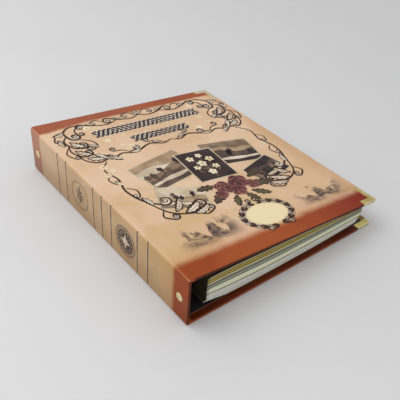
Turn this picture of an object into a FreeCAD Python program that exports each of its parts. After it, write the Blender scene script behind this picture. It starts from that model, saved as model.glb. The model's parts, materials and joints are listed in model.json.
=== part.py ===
import FreeCAD, Part

import math
import os

# Ring-bound album: a case of three covered boards with brass corners, round a four-ring mechanism that is
# riveted to the spine and carries punched leaves. It lies closed on its back cover.
# Millimetres and degrees. X runs from the spine to the fore edge, Y from tail to head, Z up.
# The origin is under the middle of the album, at the level that it lies on.

# Leaves
LEAF_HEIGHT = 302.0
LEAF_WIDTH = 227.1
LEAF_THICKNESS = 0.92
LEAF_CORNER = 3.0
LEAVES_PER_SECTION = 3
SECTION_COUNT = 8
SECTION_GAP = 0.8
FORE_GAP = 0.12
BINDING_MARGIN = 16.3
STACK_FOOT_ANGLE = 50.4
HOLE_ROOM_INSIDE = 0.3
HOLE_ROOM_OUTSIDE = 2.7
REST_CLEARANCE = 0.3

# Rings, the blades that they stand on, and the plate over the blades
RING_RADIUS = 20.5
RING_WIRE = 3.0
RING_COUNT = 4
RING_PITCH = 80.0
RING_TIP_GAP = 0.1
LEG_BEND = 5.0
LEG_STRAIGHT = 2.5
TENON_RADIUS = 1.1
TENON_CLEARANCE = 0.05
BLADE_THICKNESS = 1.0
BLADE_RIM = 0.1
BLADE_GAP = 0.3
BLADE_END_MARGIN = 8.0
BLADE_LIP_CLEARANCE = 0.15
BLADE_SIDE_CLEARANCE = 0.2
PLATE_SHEET = 0.8
PLATE_HEIGHT = 5.6
PLATE_SHOULDER = 0.8
PLATE_LIP = 2.2
PLATE_END_MARGIN = 6.0
SLOT_ROOM = 0.6

# Rivets
RIVET_END_DISTANCE = 13.0
RIVET_HEAD_RADIUS = 5.0
RIVET_HEAD_HEIGHT = 1.2
RIVET_SHANK_RADIUS = 2.0
RIVET_WALL = 0.5
RIVET_CLINCH = 0.6
RIVET_CLINCH_RADIUS = 3.5
RIVET_CLEARANCE = 0.05

# Case
BOARD = 2.4
WRAP = 0.3
LINING = 0.25
TURN_IN = 15.0
LINING_INSET = 8.0
HEAD_SQUARE = 6.0
FORE_SQUARE = 11.3
CREASE_RADIUS = 3.2
CREASE_CLEARANCE = 0.1
HINGE_GAP = 4.2
RING_ROOM = 3.3
HINGE_ROOM = 5.6
COVER_ROOM = 7.85
SPINE_TURN = 87.0

# Brass corners
BRASS = 0.5
BRASS_WIDTH = 7.0
BRASS_HEAD_LEG = 22.0
BRASS_FORE_LEG = 30.0
BRASS_ROUND = 2.5

# Case sizes that follow from the leaves and the materials
CASE_HEIGHT = LEAF_HEIGHT + 2 * HEAD_SQUARE
CASE_HALF = CASE_HEIGHT / 2
PANEL = WRAP + BOARD + WRAP + LINING
BRASS_PROUD = BRASS - WRAP

# The rings stand off the spine so that their centre comes back to its height over the back cover when the
# spine is laid back by its full turn. The leaves on the back cover then lie as they did.
WIRE_RADIUS = RING_WIRE / 2
RING_OUTSIDE = RING_RADIUS + WIRE_RADIUS
INSIDE_OFFSET = PANEL - CREASE_RADIUS
RING_LEVEL = INSIDE_OFFSET + RING_ROOM + RING_OUTSIDE
RING_STANDOFF = RING_LEVEL * math.tan(math.radians(SPINE_TURN / 2)) - INSIDE_OFFSET

# Ring legs: from the arc's end they bend outwards and run straight down to the blades.
BLADE_FOOT = PLATE_SHEET + BLADE_LIP_CLEARANCE
BLADE_TOP = BLADE_FOOT + BLADE_THICKNESS
BEND_CENTRES = RING_RADIUS + LEG_BEND
LEG_RISE = RING_STANDOFF - BLADE_TOP - LEG_STRAIGHT
ARC_END = math.acos(-LEG_RISE / BEND_CENTRES)
LEG_V = BEND_CENTRES * math.sin(ARC_END) - LEG_BEND
BLADE_HALF = LEG_V + WIRE_RADIUS + BLADE_RIM
PLATE_HALF = BLADE_HALF + BLADE_SIDE_CLEARANCE + PLATE_SHEET
PLATE_SIDE = BLADE_TOP + PLATE_SHOULDER

# The case goes round the rings and stands past the leaves at the fore edge.
CASE_WIDTH = PANEL + RING_STANDOFF + RING_RADIUS - BINDING_MARGIN + LEAF_WIDTH + FORE_SQUARE
SPINE_X = -(CASE_WIDTH + BRASS_PROUD - RIVET_HEAD_HEIGHT) / 2
SPINE_INSIDE = SPINE_X + PANEL
HINGE_X = SPINE_X + CREASE_RADIUS
COVER_REACH = CASE_WIDTH - CREASE_RADIUS
BACK_HINGE_Z = BRASS_PROUD + CREASE_RADIUS
BACK_INSIDE_Z = BRASS_PROUD + PANEL
RING_X = SPINE_INSIDE + RING_STANDOFF
RING_Z = BACK_HINGE_Z + RING_LEVEL
FRONT_HINGE_Z = RING_Z + RING_OUTSIDE + HINGE_ROOM
RING_PLACES = [RING_PITCH * (i - (RING_COUNT - 1) / 2) for i in range(RING_COUNT)]
RIVET_Y = CASE_HALF - RIVET_END_DISTANCE
PLATE_LENGTH = 2 * (RIVET_Y + PLATE_END_MARGIN)
BLADE_LENGTH = 2 * (RIVET_Y - BLADE_END_MARGIN)

# Leaf sections: the lowest hangs on the rings at the foot angle and each lies above the last. They droop
# from the ring centre, the lowest until it meets the back lining, and the others close up on it towards the
# fore edge.
FOOT = -RING_RADIUS * math.sin(math.radians(STACK_FOOT_ANGLE))
SECTION_PITCH = LEAVES_PER_SECTION * LEAF_THICKNESS + SECTION_GAP
STACK_TOP = FOOT + SECTION_COUNT * SECTION_PITCH - SECTION_GAP


def leaf_inner(level):
    """Distance from the ring centre to the inner edge of a leaf at this height above the ring centre."""
    return math.sqrt(RING_RADIUS ** 2 - level ** 2) - BINDING_MARGIN


FOOT_FORE = leaf_inner(FOOT + LEAF_THICKNESS / 2) + LEAF_WIDTH
FOOT_DROP = RING_Z - BACK_INSIDE_Z - REST_CLEARANCE
FOOT_TILT = math.asin(FOOT_DROP / math.hypot(FOOT, FOOT_FORE)) - math.atan2(-FOOT, FOOT_FORE)
LEAF_REACH = RING_RADIUS - BINDING_MARGIN + LEAF_WIDTH
CLOSE_STEP = math.asin((SECTION_GAP - FORE_GAP) / LEAF_REACH)
SECTION_TILTS = [-math.degrees(FOOT_TILT + i * CLOSE_STEP) for i in range(SECTION_COUNT)]

# The front cover slopes down from its stiff crease to a little above the top leaf at the fore edge.
TOP_TILT = math.radians(SECTION_TILTS[-1])
TOP_FORE = leaf_inner(STACK_TOP - LEAF_THICKNESS / 2) + LEAF_WIDTH
TOP_X = RING_X + TOP_FORE * math.cos(TOP_TILT) - STACK_TOP * math.sin(TOP_TILT)
TOP_Z = RING_Z + TOP_FORE * math.sin(TOP_TILT) + STACK_TOP * math.cos(TOP_TILT)
TOP_REACH = math.hypot(TOP_X - HINGE_X, FRONT_HINGE_Z - TOP_Z)
TOP_BEARING = math.atan2(TOP_X - HINGE_X, FRONT_HINGE_Z - TOP_Z)
LINING_OFFSET = INSIDE_OFFSET + COVER_ROOM
FRONT_SLOPE = math.degrees(math.acos(LINING_OFFSET / TOP_REACH) - TOP_BEARING)

X_AXIS = FreeCAD.Vector(1, 0, 0)
Y_AXIS = FreeCAD.Vector(0, 1, 0)
Z_AXIS = FreeCAD.Vector(0, 0, 1)
ORIGIN = FreeCAD.Vector(0, 0, 0)


def block(x_low, x_high, y_half, z_low, z_high):
    """A box that lies evenly across the middle of Y."""
    corner = FreeCAD.Vector(x_low, -y_half, z_low)
    return Part.makeBox(x_high - x_low, 2 * y_half, z_high - z_low, corner)


def prism(edges, height):
    """A flat outline of edges, raised by a height along Z."""
    return Part.Face(Part.Wire(edges)).extrude(Z_AXIS * height)


def line(start, end):
    return Part.LineSegment(start, end).toShape()


def round_corner(x_edge, y_edge, radius, side):
    """The arc over a fore-edge corner, on the head side (1) or the tail side (-1), from the fore edge on."""
    diagonal = radius * (1 - math.sqrt(0.5))
    start = FreeCAD.Vector(x_edge, side * (y_edge - radius), 0)
    middle = FreeCAD.Vector(x_edge - diagonal, side * (y_edge - diagonal), 0)
    end = FreeCAD.Vector(x_edge - radius, side * y_edge, 0)
    return start, end, Part.Arc(start, middle, end).toShape()


def panel(x_low, x_high, y_half, z_low, thickness, radius):
    """A flat sheet whose two fore-edge corners are round."""
    head_start, head_end, head_arc = round_corner(x_high, y_half, radius, 1)
    tail_start, tail_end, tail_arc = round_corner(x_high, y_half, radius, -1)
    head_inner = FreeCAD.Vector(x_low, y_half, 0)
    tail_inner = FreeCAD.Vector(x_low, -y_half, 0)
    edges = [
        line(tail_inner, tail_end),
        tail_arc,
        line(tail_start, head_start),
        head_arc,
        line(head_end, head_inner),
        line(head_inner, tail_inner),
    ]
    sheet = prism(Part.__sortEdges__(edges), thickness)
    sheet.translate(Z_AXIS * z_low)
    return sheet


def rod(start, axis, radius, length):
    return Part.makeCylinder(radius, length, start, axis)


def crease_rod(x, z, radius):
    """A rod along a hinge line of the case, the full height of the case."""
    return rod(FreeCAD.Vector(x, -CASE_HALF, z), Y_AXIS, radius, CASE_HEIGHT)


def stepped_lining(x_low, x_high, y_half, z_low, fore_inset, fore_overlap):
    """An endpaper on a board's inner face at z_low: it fills between the turn-ins and lies over them."""
    fill_half = y_half - WRAP - TURN_IN
    over_half = y_half - LINING_INSET
    fill = block(x_low, x_high - fore_inset, fill_half, z_low, z_low + WRAP)
    over = block(x_low, x_high - fore_overlap, over_half, z_low + WRAP, z_low + WRAP + LINING)
    return fill.fuse(over).removeSplitter()


def cover_pieces():
    """A cover's pieces with its hinge line at the origin: board, wrap, lining and the two brass corners.
    The cover lies along X with its outside down."""
    outside = -CREASE_RADIUS
    board_low = outside + WRAP
    board_high = board_low + BOARD
    board_half = CASE_HALF - WRAP
    board_fore = COVER_REACH - WRAP
    board = panel(HINGE_GAP, board_fore, board_half, board_low, BOARD, BRASS_ROUND - BRASS)

    brass_fore = COVER_REACH + BRASS_PROUD
    brass_half = CASE_HALF + BRASS_PROUD
    head_prism = corner_prism(brass_fore, brass_half, outside - BRASS_PROUD, board_high + BRASS)
    tail_prism = head_prism.mirror(ORIGIN, Y_AXIS)

    wrap_depth = WRAP + BOARD + WRAP
    wrap = panel(HINGE_GAP, COVER_REACH, CASE_HALF, outside, wrap_depth, BRASS_ROUND - BRASS_PROUD)
    flap = block(0, HINGE_GAP, CASE_HALF, outside, board_low)
    window_fore = board_fore - TURN_IN
    window = block(HINGE_GAP, window_fore, board_half - TURN_IN, board_high, board_high + WRAP)
    wrap = wrap.fuse(flap).cut(board).cut(window)
    wrap = wrap.cut(crease_rod(0, 0, CREASE_RADIUS + CREASE_CLEARANCE))
    wrap = wrap.cut(head_prism).cut(tail_prism).removeSplitter()

    lining = stepped_lining(HINGE_GAP, COVER_REACH, CASE_HALF, board_high, WRAP + TURN_IN, LINING_INSET)
    return {
        "board": board,
        "wrap": wrap,
        "lining": lining,
        "head": head_prism.cut(board),
        "tail": tail_prism.cut(board),
    }


def corner_prism(x_edge, y_edge, z_low, z_high):
    """The L that a brass corner covers at the head, from outside to inside of the cover."""
    start, end, arc = round_corner(x_edge, y_edge, BRASS_ROUND, 1)
    fore_end = y_edge - BRASS_FORE_LEG
    head_end = x_edge - BRASS_HEAD_LEG
    inner_x = x_edge - BRASS_WIDTH
    inner_y = y_edge - BRASS_WIDTH
    points = [
        end,
        FreeCAD.Vector(head_end, y_edge, 0),
        FreeCAD.Vector(head_end, inner_y, 0),
        FreeCAD.Vector(inner_x, inner_y, 0),
        FreeCAD.Vector(inner_x, fore_end, 0),
        FreeCAD.Vector(x_edge, fore_end, 0),
        start,
    ]
    sides = [line(a, b) for a, b in zip(points, points[1:])]
    whole = prism([arc] + sides, z_high - z_low)
    whole.translate(Z_AXIS * z_low)
    return whole


def place_back(shape):
    placed = shape.copy()
    placed.translate(FreeCAD.Vector(HINGE_X, 0, BACK_HINGE_Z))
    return placed


def place_front(shape):
    """The front cover is the back cover turned over, sloping down from the front crease."""
    placed = shape.mirror(ORIGIN, Z_AXIS)
    placed.rotate(ORIGIN, Y_AXIS, FRONT_SLOPE)
    placed.translate(FreeCAD.Vector(HINGE_X, 0, FRONT_HINGE_Z))
    return placed


def rivet_places():
    return [FreeCAD.Vector(SPINE_X, side * RIVET_Y, RING_Z) for side in (1, -1)]


def drill(shape, depth):
    """Cuts the two rivet holes through the spine, to this depth from its outside."""
    for place in rivet_places():
        shape = shape.cut(rod(place, X_AXIS, RIVET_SHANK_RADIUS + RIVET_CLEARANCE, depth))
    return shape


def spine_pieces():
    """The spine's board, wrap and lining, standing between the two creases."""
    low = BACK_HINGE_Z + HINGE_GAP
    high = FRONT_HINGE_Z - HINGE_GAP
    board_x = SPINE_X + WRAP
    board_end = board_x + BOARD
    board_half = CASE_HALF - WRAP
    board = block(board_x, board_end, board_half, low, high)

    wrap = block(SPINE_X, board_end + WRAP, CASE_HALF, low, high)
    flap = block(SPINE_X, board_x, CASE_HALF, BACK_HINGE_Z, FRONT_HINGE_Z)
    window = block(board_end, board_end + WRAP, board_half - TURN_IN, low, high)
    wrap = wrap.fuse(flap).cut(board).cut(window)
    for z in (BACK_HINGE_Z, FRONT_HINGE_Z):
        wrap = wrap.cut(crease_rod(HINGE_X, z, CREASE_RADIUS + CREASE_CLEARANCE))

    fill = block(board_end, board_end + WRAP, board_half - TURN_IN, low, high)
    over = block(board_end + WRAP, SPINE_INSIDE, CASE_HALF - LINING_INSET, low, high)
    lining = fill.fuse(over).removeSplitter()
    return {
        "spine_board": drill(board, PANEL),
        "spine_wrap": drill(wrap.removeSplitter(), PANEL),
        "spine_lining": drill(lining, PANEL),
    }


def spine_point(u, v, y=0.0):
    """A point by its distance u off the spine's inside and its height v above the ring centre."""
    return FreeCAD.Vector(SPINE_INSIDE + u, y, RING_Z + v)


def base_plate():
    """Arched sheet over the blades, with lips turned in under them, ring slots and rivet holes."""
    inner = PLATE_HALF - PLATE_SHEET
    lip = inner - PLATE_LIP
    rise = PLATE_HEIGHT - PLATE_SIDE
    arch = (PLATE_HALF ** 2 + rise ** 2) / (2 * rise)
    centre = PLATE_HEIGHT - arch
    inner_side = centre + math.sqrt((arch - PLATE_SHEET) ** 2 - inner ** 2)
    outside = Part.Arc(
        spine_point(PLATE_SIDE, -PLATE_HALF),
        spine_point(PLATE_HEIGHT, 0),
        spine_point(PLATE_SIDE, PLATE_HALF),
    ).toShape()
    inside = Part.Arc(
        spine_point(inner_side, inner),
        spine_point(PLATE_HEIGHT - PLATE_SHEET, 0),
        spine_point(inner_side, -inner),
    ).toShape()
    upper = [
        (PLATE_SIDE, PLATE_HALF),
        (0, PLATE_HALF),
        (0, lip),
        (PLATE_SHEET, lip),
        (PLATE_SHEET, inner),
        (inner_side, inner),
    ]
    lower = [(u, -v) for u, v in reversed(upper)]
    edges = [outside]
    edges += [line(spine_point(*a), spine_point(*b)) for a, b in zip(upper, upper[1:])]
    edges.append(inside)
    edges += [line(spine_point(*a), spine_point(*b)) for a, b in zip(lower, lower[1:])]
    plate = Part.Face(Part.Wire(edges)).extrude(Y_AXIS * PLATE_LENGTH)
    plate.translate(Y_AXIS * (-PLATE_LENGTH / 2))

    slot_low = LEG_V - WIRE_RADIUS - SLOT_ROOM
    slot_width = RING_WIRE + 2 * SLOT_ROOM
    for y in RING_PLACES:
        corner = spine_point(PLATE_SHEET, slot_low, y - slot_width / 2)
        upper_slot = Part.makeBox(PLATE_HEIGHT, slot_width, PLATE_HALF, corner)
        lower_slot = upper_slot.mirror(spine_point(0, 0), Z_AXIS)
        plate = plate.cut(upper_slot).cut(lower_slot)
    return drill(plate, PANEL + PLATE_HEIGHT + RIVET_CLINCH)


def upper_blade():
    """A flat strip along the plate's upper edge, with a hole for each ring leg's tenon."""
    corner = spine_point(BLADE_FOOT, BLADE_GAP / 2, -BLADE_LENGTH / 2)
    blade = Part.makeBox(BLADE_THICKNESS, BLADE_LENGTH, BLADE_HALF - BLADE_GAP / 2, corner)
    for y in RING_PLACES:
        hole = rod(spine_point(BLADE_FOOT, LEG_V, y), X_AXIS, TENON_RADIUS + TENON_CLEARANCE, BLADE_THICKNESS)
        blade = blade.cut(hole)
    return blade


def wire_disc(centre, normal):
    return Part.Face(Part.Wire(Part.Circle(centre, normal, WIRE_RADIUS).toShape()))


def upper_ring(y):
    """Half a ring of round wire: the tenon in the blade, the leg, the bend and the arc up to the tip."""
    leg_start = RING_STANDOFF - LEG_RISE
    tenon = rod(spine_point(BLADE_FOOT, LEG_V, y), X_AXIS, TENON_RADIUS, BLADE_THICKNESS)
    leg = rod(spine_point(BLADE_TOP, LEG_V, y), X_AXIS, WIRE_RADIUS, leg_start - BLADE_TOP)
    bend_disc = wire_disc(spine_point(leg_start, LEG_V, y), X_AXIS)
    bend_turn = math.degrees(ARC_END) - 90.0
    bend = bend_disc.revolve(spine_point(leg_start, LEG_V + LEG_BEND, y), -Y_AXIS, bend_turn)
    tip = math.asin(RING_TIP_GAP / 2 / RING_RADIUS)
    tip_u = RING_STANDOFF + RING_RADIUS * math.cos(tip)
    tip_disc = wire_disc(
        spine_point(tip_u, RING_TIP_GAP / 2, y),
        FreeCAD.Vector(-math.sin(tip), 0, math.cos(tip)),
    )
    arc = tip_disc.revolve(spine_point(RING_STANDOFF, 0, y), -Y_AXIS, math.degrees(ARC_END - tip))
    return tenon.multiFuse([leg, bend, arc]).removeSplitter()


def rivet(place):
    """A tubular rivet: a domed head outside, a hollow shank, and a rim clinched over the plate."""
    shank_end = PANEL + PLATE_HEIGHT
    rim_end = shank_end + RIVET_CLINCH
    bore_radius = RIVET_SHANK_RADIUS - RIVET_WALL
    dome_radius = (RIVET_HEAD_RADIUS ** 2 + RIVET_HEAD_HEIGHT ** 2) / (2 * RIVET_HEAD_HEIGHT)
    dome_half = math.asin(RIVET_HEAD_RADIUS / dome_radius) / 2
    dome_middle = dome_radius * (1 - math.cos(dome_half)) - RIVET_HEAD_HEIGHT
    crown = FreeCAD.Vector(-RIVET_HEAD_HEIGHT, 0, 0)
    middle = FreeCAD.Vector(dome_middle, dome_radius * math.sin(dome_half), 0)
    profile = [
        (0, RIVET_HEAD_RADIUS),
        (0, RIVET_SHANK_RADIUS),
        (shank_end, RIVET_SHANK_RADIUS),
        (shank_end, RIVET_CLINCH_RADIUS),
        (rim_end, RIVET_CLINCH_RADIUS),
        (rim_end, bore_radius),
        (0, bore_radius),
        (0, 0),
    ]
    points = [FreeCAD.Vector(along, out, 0) for along, out in profile] + [crown]
    edges = [Part.Arc(crown, middle, points[0]).toShape()]
    edges += [line(a, b) for a, b in zip(points, points[1:])]
    solid = Part.Face(Part.Wire(edges)).revolve(ORIGIN, X_AXIS, 360)
    solid.translate(place)
    return solid


def leaf_section(index):
    """One section of leaves on the rings. Each hole is a tunnel round the ring centre, so that the leaves
    slide along the rings as they turn."""
    tunnel_radius = WIRE_RADIUS + (HOLE_ROOM_INSIDE + HOLE_ROOM_OUTSIDE) / 2
    tunnel_centre = RING_RADIUS + (HOLE_ROOM_OUTSIDE - HOLE_ROOM_INSIDE) / 2
    tunnels = [
        Part.makeTorus(tunnel_centre, tunnel_radius, FreeCAD.Vector(0, y, 0), Y_AXIS)
        for y in RING_PLACES
    ]
    leaves = []
    for i in range(LEAVES_PER_SECTION):
        level = FOOT + index * SECTION_PITCH + i * LEAF_THICKNESS
        inner = leaf_inner(level + LEAF_THICKNESS / 2)
        leaf = panel(inner, inner + LEAF_WIDTH, LEAF_HEIGHT / 2, level, LEAF_THICKNESS, LEAF_CORNER)
        leaves.append(leaf.cut(Part.makeCompound(tunnels)))
    section = Part.makeCompound([solid for leaf in leaves for solid in leaf.Solids])
    section.rotate(ORIGIN, -Y_AXIS, SECTION_TILTS[index])
    section.translate(FreeCAD.Vector(RING_X, 0, RING_Z))
    return section


def mirror_across_rings(shape):
    return shape.mirror(spine_point(0, 0), Z_AXIS)


def build():
    nodes = {}
    cover = cover_pieces()
    for side, place in (("back", place_back), ("front", place_front)):
        for layer in ("board", "wrap", "lining"):
            nodes[f"{side}_{layer}"] = place(cover[layer])
        for end in ("head", "tail"):
            nodes[f"corner_{side}_{end}"] = place(cover[end])
    nodes["back_crease"] = crease_rod(HINGE_X, BACK_HINGE_Z, CREASE_RADIUS)
    nodes["front_crease"] = crease_rod(HINGE_X, FRONT_HINGE_Z, CREASE_RADIUS)
    nodes.update(spine_pieces())

    nodes["ring_base_plate"] = base_plate()
    nodes["upper_blade"] = upper_blade()
    nodes["lower_blade"] = mirror_across_rings(nodes["upper_blade"])
    for i, y in enumerate(RING_PLACES, 1):
        nodes[f"upper_ring_{i}"] = upper_ring(y)
        nodes[f"lower_ring_{i}"] = mirror_across_rings(nodes[f"upper_ring_{i}"])
    for end, place in zip(("head", "tail"), rivet_places()):
        nodes[f"rivet_{end}"] = rivet(place)

    for i in range(SECTION_COUNT):
        nodes[f"leaf_section_{i + 1}"] = leaf_section(i)
    return nodes


os.makedirs("parts", exist_ok=True)
for name, shape in build().items():
    shape.exportStep(os.path.join("parts", name + ".step"))
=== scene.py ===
import json
import math
import random

import bmesh
import bpy
from mathutils import Matrix, Vector


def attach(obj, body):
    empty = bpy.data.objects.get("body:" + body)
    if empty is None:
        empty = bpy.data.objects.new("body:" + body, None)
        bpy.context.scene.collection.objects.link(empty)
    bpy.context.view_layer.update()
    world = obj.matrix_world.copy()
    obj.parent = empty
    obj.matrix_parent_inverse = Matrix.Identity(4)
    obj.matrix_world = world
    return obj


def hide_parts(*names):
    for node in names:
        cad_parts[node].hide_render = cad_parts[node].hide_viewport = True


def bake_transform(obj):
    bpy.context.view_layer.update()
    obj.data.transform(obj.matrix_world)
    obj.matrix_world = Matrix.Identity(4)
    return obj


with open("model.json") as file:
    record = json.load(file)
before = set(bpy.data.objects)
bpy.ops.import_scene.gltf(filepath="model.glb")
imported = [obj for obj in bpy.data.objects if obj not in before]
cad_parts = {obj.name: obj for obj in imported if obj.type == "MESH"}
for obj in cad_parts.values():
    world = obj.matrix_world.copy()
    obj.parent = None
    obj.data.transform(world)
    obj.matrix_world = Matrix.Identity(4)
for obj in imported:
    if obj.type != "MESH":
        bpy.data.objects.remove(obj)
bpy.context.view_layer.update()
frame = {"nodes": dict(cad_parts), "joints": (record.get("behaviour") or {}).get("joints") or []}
nodes = frame["nodes"]
MM = 0.001

# Boards: three sheets of dense grey pulp board, cut square, which stiffen the two covers and the spine.
# The wrap and the endpapers are glued over them, so that only their cut edges show, deep in the joints.


def srgb(red, green, blue):
    """A colour from 0 to 255, as the eye reads it, for a shader's socket."""
    shares = [c / 255 for c in (red, green, blue)]
    return tuple(s / 12.92 if s <= 0.04045 else ((s + 0.055) / 1.055) ** 2.4 for s in shares) + (1.0,)


def node(kind, inputs, tree=None, **settings):
    """A new node, in the tree of the sockets that feed it or in the tree that is given."""
    fed = {key: value for key, value in inputs.items() if isinstance(value, bpy.types.NodeSocket)}
    tree = tree or next(iter(fed.values())).id_data
    made = tree.nodes.new("ShaderNode" + kind)
    for key, value in settings.items():
        setattr(made, key, value)
    for key, value in inputs.items():
        if key in fed:
            tree.links.new(value, made.inputs[key])
        else:
            made.inputs[key].default_value = value
    return made


def mix(share, first, second):
    """Blends two colours; each is a socket or a colour from 0 to 255."""
    first, second = (srgb(*colour) if isinstance(colour, tuple) else colour for colour in (first, second))
    return node("Mix", {0: share, 6: first, 7: second}, data_type="RGBA").outputs[2]


def ramp(value, low, high, at_low=0.0, at_high=1.0):
    """A soft step from one value to another as the input goes from low to high."""
    inputs = {"Value": value, "From Min": low, "From Max": high, "To Min": at_low, "To Max": at_high}
    return node("MapRange", inputs, interpolation_type="SMOOTHSTEP").outputs[0]


def noise(place, scale, detail=3.0):
    return node("TexNoise", {"Vector": place, "Scale": scale, "Detail": detail}).outputs["Fac"]


def finish_of(name, **sockets):
    """A new finish, its shader and the place on the piece, in metres."""
    made = bpy.data.materials.new(name)
    made.use_nodes = True
    tree = made.node_tree
    shader = tree.nodes["Principled BSDF"]
    for key, value in sockets.items():
        shader.inputs[key.replace("_", " ")].default_value = value
    return made, shader, tree.nodes.new("ShaderNodeTexCoord").outputs["Object"]


def give(shader, **sockets):
    for key, value in sockets.items():
        shader.id_data.links.new(value, shader.inputs[key.replace("_", " ")])


def relief(height, depth, edge=0.0):
    """A fine surface in a finish; edge is how far the piece's sharp edges are rounded."""
    inputs = {"Height": height, "Distance": depth}
    if edge:
        inputs["Normal"] = node("Bevel", {"Radius": edge}, height.id_data, samples=6).outputs["Normal"]
    return node("Bump", inputs).outputs["Normal"]


def dress(piece, *finishes):
    if piece.data.materials:
        piece.data.materials.clear()
    for finish in finishes:
        piece.data.materials.append(finish)


greyboard, shader, place = finish_of("greyboard")
pulp = noise(place, 900, 5)
give(
    shader,
    Base_Color=mix(ramp(pulp, 0.35, 0.65), (150, 142, 128), (120, 112, 100)),
    Roughness=ramp(pulp, 0.3, 0.7, 0.8, 0.95),
    Normal=relief(pulp, 0.1 * MM),
)
for board in ("back_board", "spine_board", "front_board"):
    dress(nodes[board], greyboard)

# Wrap: one sheet of printed paper under a satin film, glued round the boards and turned in at the edges.
# It is parchment tan, with a terracotta band at head and tail that fades softly into the tan.
CASE_HALF = 157.0 * MM
SPINE_X = -134.428 * MM
FORE_X = 135.4 * MM
SATIN_FILM = {"Coat_Weight": 0.03, "Coat_Roughness": 0.3, "Specular_IOR_Level": 0.13}


def calc(operation, first, second=0.0):
    return node("Math", {0: first, 1: second}, operation=operation).outputs[0]


def times(first, second):
    return calc("MULTIPLY", first, second)


def away(value, mark):
    return calc("ABSOLUTE", calc("SUBTRACT", value, mark))


def stretched(place, x, y, z):
    return node("Mapping", {"Vector": place, "Scale": (x, y, z)}).outputs["Vector"]


def axes(place):
    return node("SeparateXYZ", {0: place}).outputs[:]


def facing(place):
    """How far a surface faces along each axis of its piece."""
    return [calc("ABSOLUTE", part) for part in axes(node("TexCoord", {}, place.id_data).outputs["Normal"])]


def case_print(name, light_tan, dark_tan, head_near, head_far, tail, fade, deep_corner, edge):
    """The print, with the widths of its bands: at the head by the spine and away from it, and at the tail.
    fade is how softly they end, deep_corner how dark the tail's fore corner is, edge the boards' rounding."""
    made, shader, place = finish_of(name, **SATIN_FILM)
    x, y, _ = axes(place)
    cloud = noise(place, 13, 4)
    mottle = noise(place, 70, 5)
    grain = noise(place, 700, 4)
    tan = mix(ramp(cloud, 0.35, 0.65), light_tan, dark_tan)
    tan = mix(ramp(mottle, 0.5, 0.75, 0.0, 0.35), tan, (228, 199, 166))
    tan = mix(ramp(grain, 0.55, 0.8, 0.0, 0.25), tan, (190, 150, 112))
    clay = mix(ramp(cloud, 0.4, 0.62), (160, 77, 31), (149, 65, 25))
    clay = mix(ramp(mottle, 0.5, 0.8, 0.0, 0.3), clay, (166, 82, 38))
    to_tail = ramp(y, -60 * MM, 60 * MM, 1.0, 0.0)
    stains = ramp(noise(place, 26, 4), 0.46, 0.62, 0.0, 0.55)
    tan = mix(times(to_tail, stains), tan, (206, 174, 122))
    deep = times(to_tail, ramp(x, 30 * MM, FORE_X, 0.0, deep_corner))
    clay = mix(deep, clay, (124, 20, 0))
    waver = times(calc("SUBTRACT", mottle, 0.5), 5 * MM)
    from_tail = calc("ADD", calc("ADD", y, CASE_HALF), waver)
    from_head = calc("ADD", calc("SUBTRACT", CASE_HALF, y), waver)
    head_edge = ramp(x, SPINE_X, SPINE_X + 70 * MM, head_near, head_far)
    past_head = calc("SUBTRACT", from_head, head_edge)
    at_tail = ramp(from_tail, tail - fade, tail + fade, 1.0, 0.0)
    at_head = ramp(past_head, -0.5 * fade, 0.6 * fade, 1.0, 0.0)
    glow = ramp(from_tail, tail, tail + 24 * MM, 0.35, 0.0)
    tan = mix(glow, tan, (200, 132, 86))
    tan = mix(ramp(x, FORE_X - 30 * MM, FORE_X, 0.0, 0.4), tan, (186, 132, 88))
    faded = times(at_head, ramp(x, -40 * MM, 80 * MM, 0.32, 0.08))
    clay = mix(faded, clay, (170, 108, 88))
    colour = mix(calc("MAXIMUM", at_tail, at_head), tan, clay)
    give(shader, Roughness=ramp(mottle, 0.3, 0.7, 0.4, 0.5), Normal=relief(grain, 0.012 * MM, edge))
    ridge = node("Attribute", {}, place.id_data, attribute_name="ridge").outputs["Fac"]
    scuff = noise(stretched(place, 900, 60, 900), 1.0, 4)
    # Paler along the ridge of a fold: partly rubbed film, partly a painted highlight.
    rubbed_and_highlight = times(ramp(ridge, 0.75, 1.0), ramp(scuff, 0.4, 0.75, 0.1, 0.5))
    colour = mix(rubbed_and_highlight, colour, (226, 186, 150))
    return made, shader, place, colour


def shade_board_ends(colour, share):
    """Darkens the narrow edges of a board at head and tail with painted shade."""
    return mix(ramp(facing(colour)[1], 0.5, 0.8, 0.0, share), colour, (46, 14, 6))


def far_hills(place, middle, reach, ground, tall):
    """A soft painted skyline of hills and trees near the tail, as the share of its ink."""
    x, y, _ = axes(place)
    aside = away(x, SPINE_X + middle)
    height = calc("SUBTRACT", y, ground - CASE_HALF)
    trees = noise(stretched(place, 62, 26, 0), 1.0, 4)
    over = calc("SUBTRACT", height, ramp(trees, 0.34, 0.7, 0.0, tall))
    smoke = noise(stretched(place, 50, 120, 0), 1.0, 5)
    share = times(ramp(over, -3 * MM, 2.5 * MM, 1.0, 0.0), ramp(height, -15 * MM, 1 * MM))
    share = times(share, ramp(aside, 0.4 * reach, reach, 1.0, 0.0))
    return times(share, ramp(smoke, 0.32, 0.56, 0.3, 1.0))


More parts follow.
